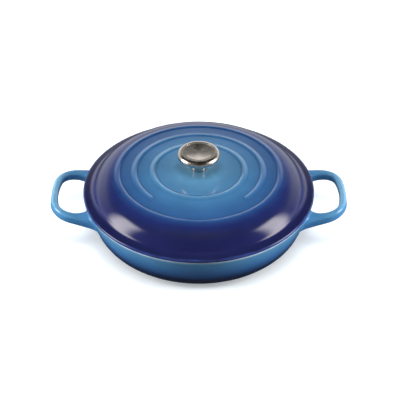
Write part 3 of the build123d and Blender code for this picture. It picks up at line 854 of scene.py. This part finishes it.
# %% Glow of the table
spot = add_node(tree, "ShaderNodeTexCoord").outputs["Object"]
from_pan = add_node(tree, "ShaderNodeVectorMath", {0: spot}, operation="LENGTH").outputs["Value"]
seen = add_node(tree, "ShaderNodeMapRange", {0: from_pan, **spans(SHADOW_REACH, SHADOW_GLOW)},
                interpolation_type="SMOOTHSTEP").outputs[0]
fill = add_node(tree, "ShaderNodeMapRange",
                {0: from_pan, **spans(FILL_REACH, (0.0, FILL_GLOW))}).outputs[0]
seen = add_node(tree, "ShaderNodeMath", {0: seen, 1: fill}, operation="ADD").outputs[0]
seen = add_node(tree, "ShaderNodeMath", {0: rays["Is Camera Ray"], 1: seen},
                operation="MULTIPLY").outputs[0]
mirrored = add_node(tree, "ShaderNodeMath", {0: rays["Is Glossy Ray"], 1: rays["Is Transmission Ray"]},
                    operation="ADD").outputs[0]
# Gloss gets no glow near the pan: a painted shadow for the pan's foot to mirror
distant = add_node(tree, "ShaderNodeMapRange",
                   {0: from_pan, **spans(MIRRORED_REACH, (0.0, MIRRORED_GLOW))}).outputs[0]
mirrored = add_node(tree, "ShaderNodeMath", {0: mirrored, 1: distant}, operation="MULTIPLY").outputs[0]
glow = add_node(tree, "ShaderNodeMath", {0: seen, 1: mirrored}, operation="ADD").outputs[0]
# Painted shadow: close to the pan the glow turns a little blue
near = add_node(tree, "ShaderNodeMapRange", {0: from_pan, **spans(SHADOW_REACH, (1.0, 0.0))}).outputs[0]
tint = add_node(tree, "ShaderNodeMix", {0: near, 6: colour("#F6FAFD"), 7: colour("#E4ECF4")},
                data_type="RGBA").outputs[2]
glow = add_node(tree, "ShaderNodeEmission", {"Color": tint, "Strength": glow}).outputs[0]
both = add_node(tree, "ShaderNodeAddShader", {0: matt, 1: glow}).outputs[0]
add_node(tree, "ShaderNodeOutputMaterial", {"Surface": both})
table_mesh.materials.append(table_finish)
print("glow near the pan and far off:", SHADOW_GLOW[0], "and", round(SHADOW_GLOW[1] + FILL_GLOW, 2))

# %% [markdown]
# ## The room and its lamps
#
# Gloss shows the room, so the room is designed for the reflections. Behind the table a white sweep
# reaches up to about 30 degrees, and the far side of the lid mirrors it. The rest is dark, which
# keeps the indigo deep. A tall softbox on each side gives the two bright patches on the shoulder.
# The lamp overhead has a narrow beam, lights the top gently, and is hidden from gloss. So is the
# low lamp on each side, which lights the pan's wall and the handles at a flat angle. No lamp shows
# itself to the camera.

# %% Room
# Height and direction to the back, as parts of a unit vector, where the sweep fades, and strengths
SWEEP_HEIGHT, SWEEP_STRENGTH = (0.4, 0.6), (1.4, 0.06)
SWEEP_BACK, FRONT_SHARE = (0.15, 0.95), 0.04

world = bpy.data.worlds.new("studio")
scene.world = world
world.use_nodes = True
tree = world.node_tree
tree.nodes.clear()
rays = add_node(tree, "ShaderNodeLightPath").outputs
way = add_node(tree, "ShaderNodeTexCoord").outputs["Generated"]
way = add_node(tree, "ShaderNodeSeparateXYZ", {0: way}).outputs
sweep = add_node(tree, "ShaderNodeMapRange",
                 {0: way["Z"], **spans(SWEEP_HEIGHT, SWEEP_STRENGTH)}).outputs[0]
behind = add_node(tree, "ShaderNodeMapRange",
                  {0: way["Y"], **spans(SWEEP_BACK, (FRONT_SHARE, 1.0))}).outputs[0]
strength = add_node(tree, "ShaderNodeMath", {0: sweep, 1: behind}, operation="MULTIPLY").outputs[0]
# The camera sees plain white wherever the table ends
strength = add_node(tree, "ShaderNodeMath", {0: strength, 1: rays["Is Camera Ray"]},
                    operation="MAXIMUM").outputs[0]
sky = add_node(tree, "ShaderNodeBackground", {"Color": (1, 1, 1, 1), "Strength": strength}).outputs[0]
add_node(tree, "ShaderNodeOutputWorld", {"Surface": sky})
print("world:", world.name)

# %% Cloth of a softbox
# From the middle of the cloth to its edge is half of its width
SIDE_FADE, TOP_FADE, EDGE = 0.12, 0.2, 0.5


def cloth_light(tree):
    """Feed a lamp's output with light that falls off towards the cloth's two sides and its top."""
    across = add_node(tree, "ShaderNodeNewGeometry").outputs["Parametric"]
    from_middle = add_node(tree, "ShaderNodeVectorMath", {0: across, 1: (EDGE, EDGE, 0.0)},
                           operation="SUBTRACT").outputs[0]
    sides = add_node(tree, "ShaderNodeSeparateXYZ", {0: from_middle}).outputs
    aside = add_node(tree, "ShaderNodeMath", {0: sides["X"]}, operation="ABSOLUTE").outputs[0]
    cloth = 1.0
    for off, begin in ((aside, SIDE_FADE), (sides["Y"], TOP_FADE)):
        fall = add_node(tree, "ShaderNodeMapRange", {0: off, **spans((begin, EDGE), (1.0, 0.0))},
                        interpolation_type="SMOOTHSTEP").outputs[0]
        cloth = add_node(tree, "ShaderNodeMath", {0: cloth, 1: fall}, operation="MULTIPLY").outputs[0]
    glow = add_node(tree, "ShaderNodeEmission", {"Strength": cloth}).outputs[0]
    add_node(tree, "ShaderNodeOutputLight", {"Surface": glow})


print("a softbox is evenly bright over", 2 * SIDE_FADE, "of its width")


# %% Lamps
def softbox(name, place, aim, size, watts, tint="#FFFFFF", spread=180, mirrored=False):
    """A rectangular lamp at a place in metres, turned towards a point, that gloss may mirror or not."""
    data = bpy.data.lights.new(name, "AREA")
    data.shape = "RECTANGLE"
    data.size, data.size_y = size
    data.energy = watts
    data.color = colour(tint)[:3]
    data.spread = radians(spread)
    data.use_nodes = True
    data.node_tree.nodes.clear()
    cloth_light(data.node_tree)
    lamp = bpy.data.objects.new(name, data)
    lamp.location = place
    lamp.visible_glossy = mirrored
    lamp.visible_camera = False
    lamp.rotation_euler = (Vector(aim) - Vector(place)).to_track_quat("-Z", "Y").to_euler()
    scene.collection.objects.link(lamp)
    print(name, "gives", round(watts / (pi * size[0] * size[1]), 2), "per unit of its area")


softbox("overhead", place=(0, -0.25, 0.9), aim=(0, -0.08, 0.09), size=(1.0, 0.7), watts=2.6, spread=60)
for side, name in ((-1, "left_softbox"), (1, "right_softbox")):
    softbox(name, place=(side * 1.5, -0.22, 0.75), aim=(0, 0, 0.4), size=(1.1, 1.5), watts=45,
            tint="#FFF8F4", mirrored=True)
    softbox(name + "_low", place=(side * 1.2, -0.04, 0.16), aim=(0, -0.04, 0.03), size=(0.6, 0.3),
            watts=18)
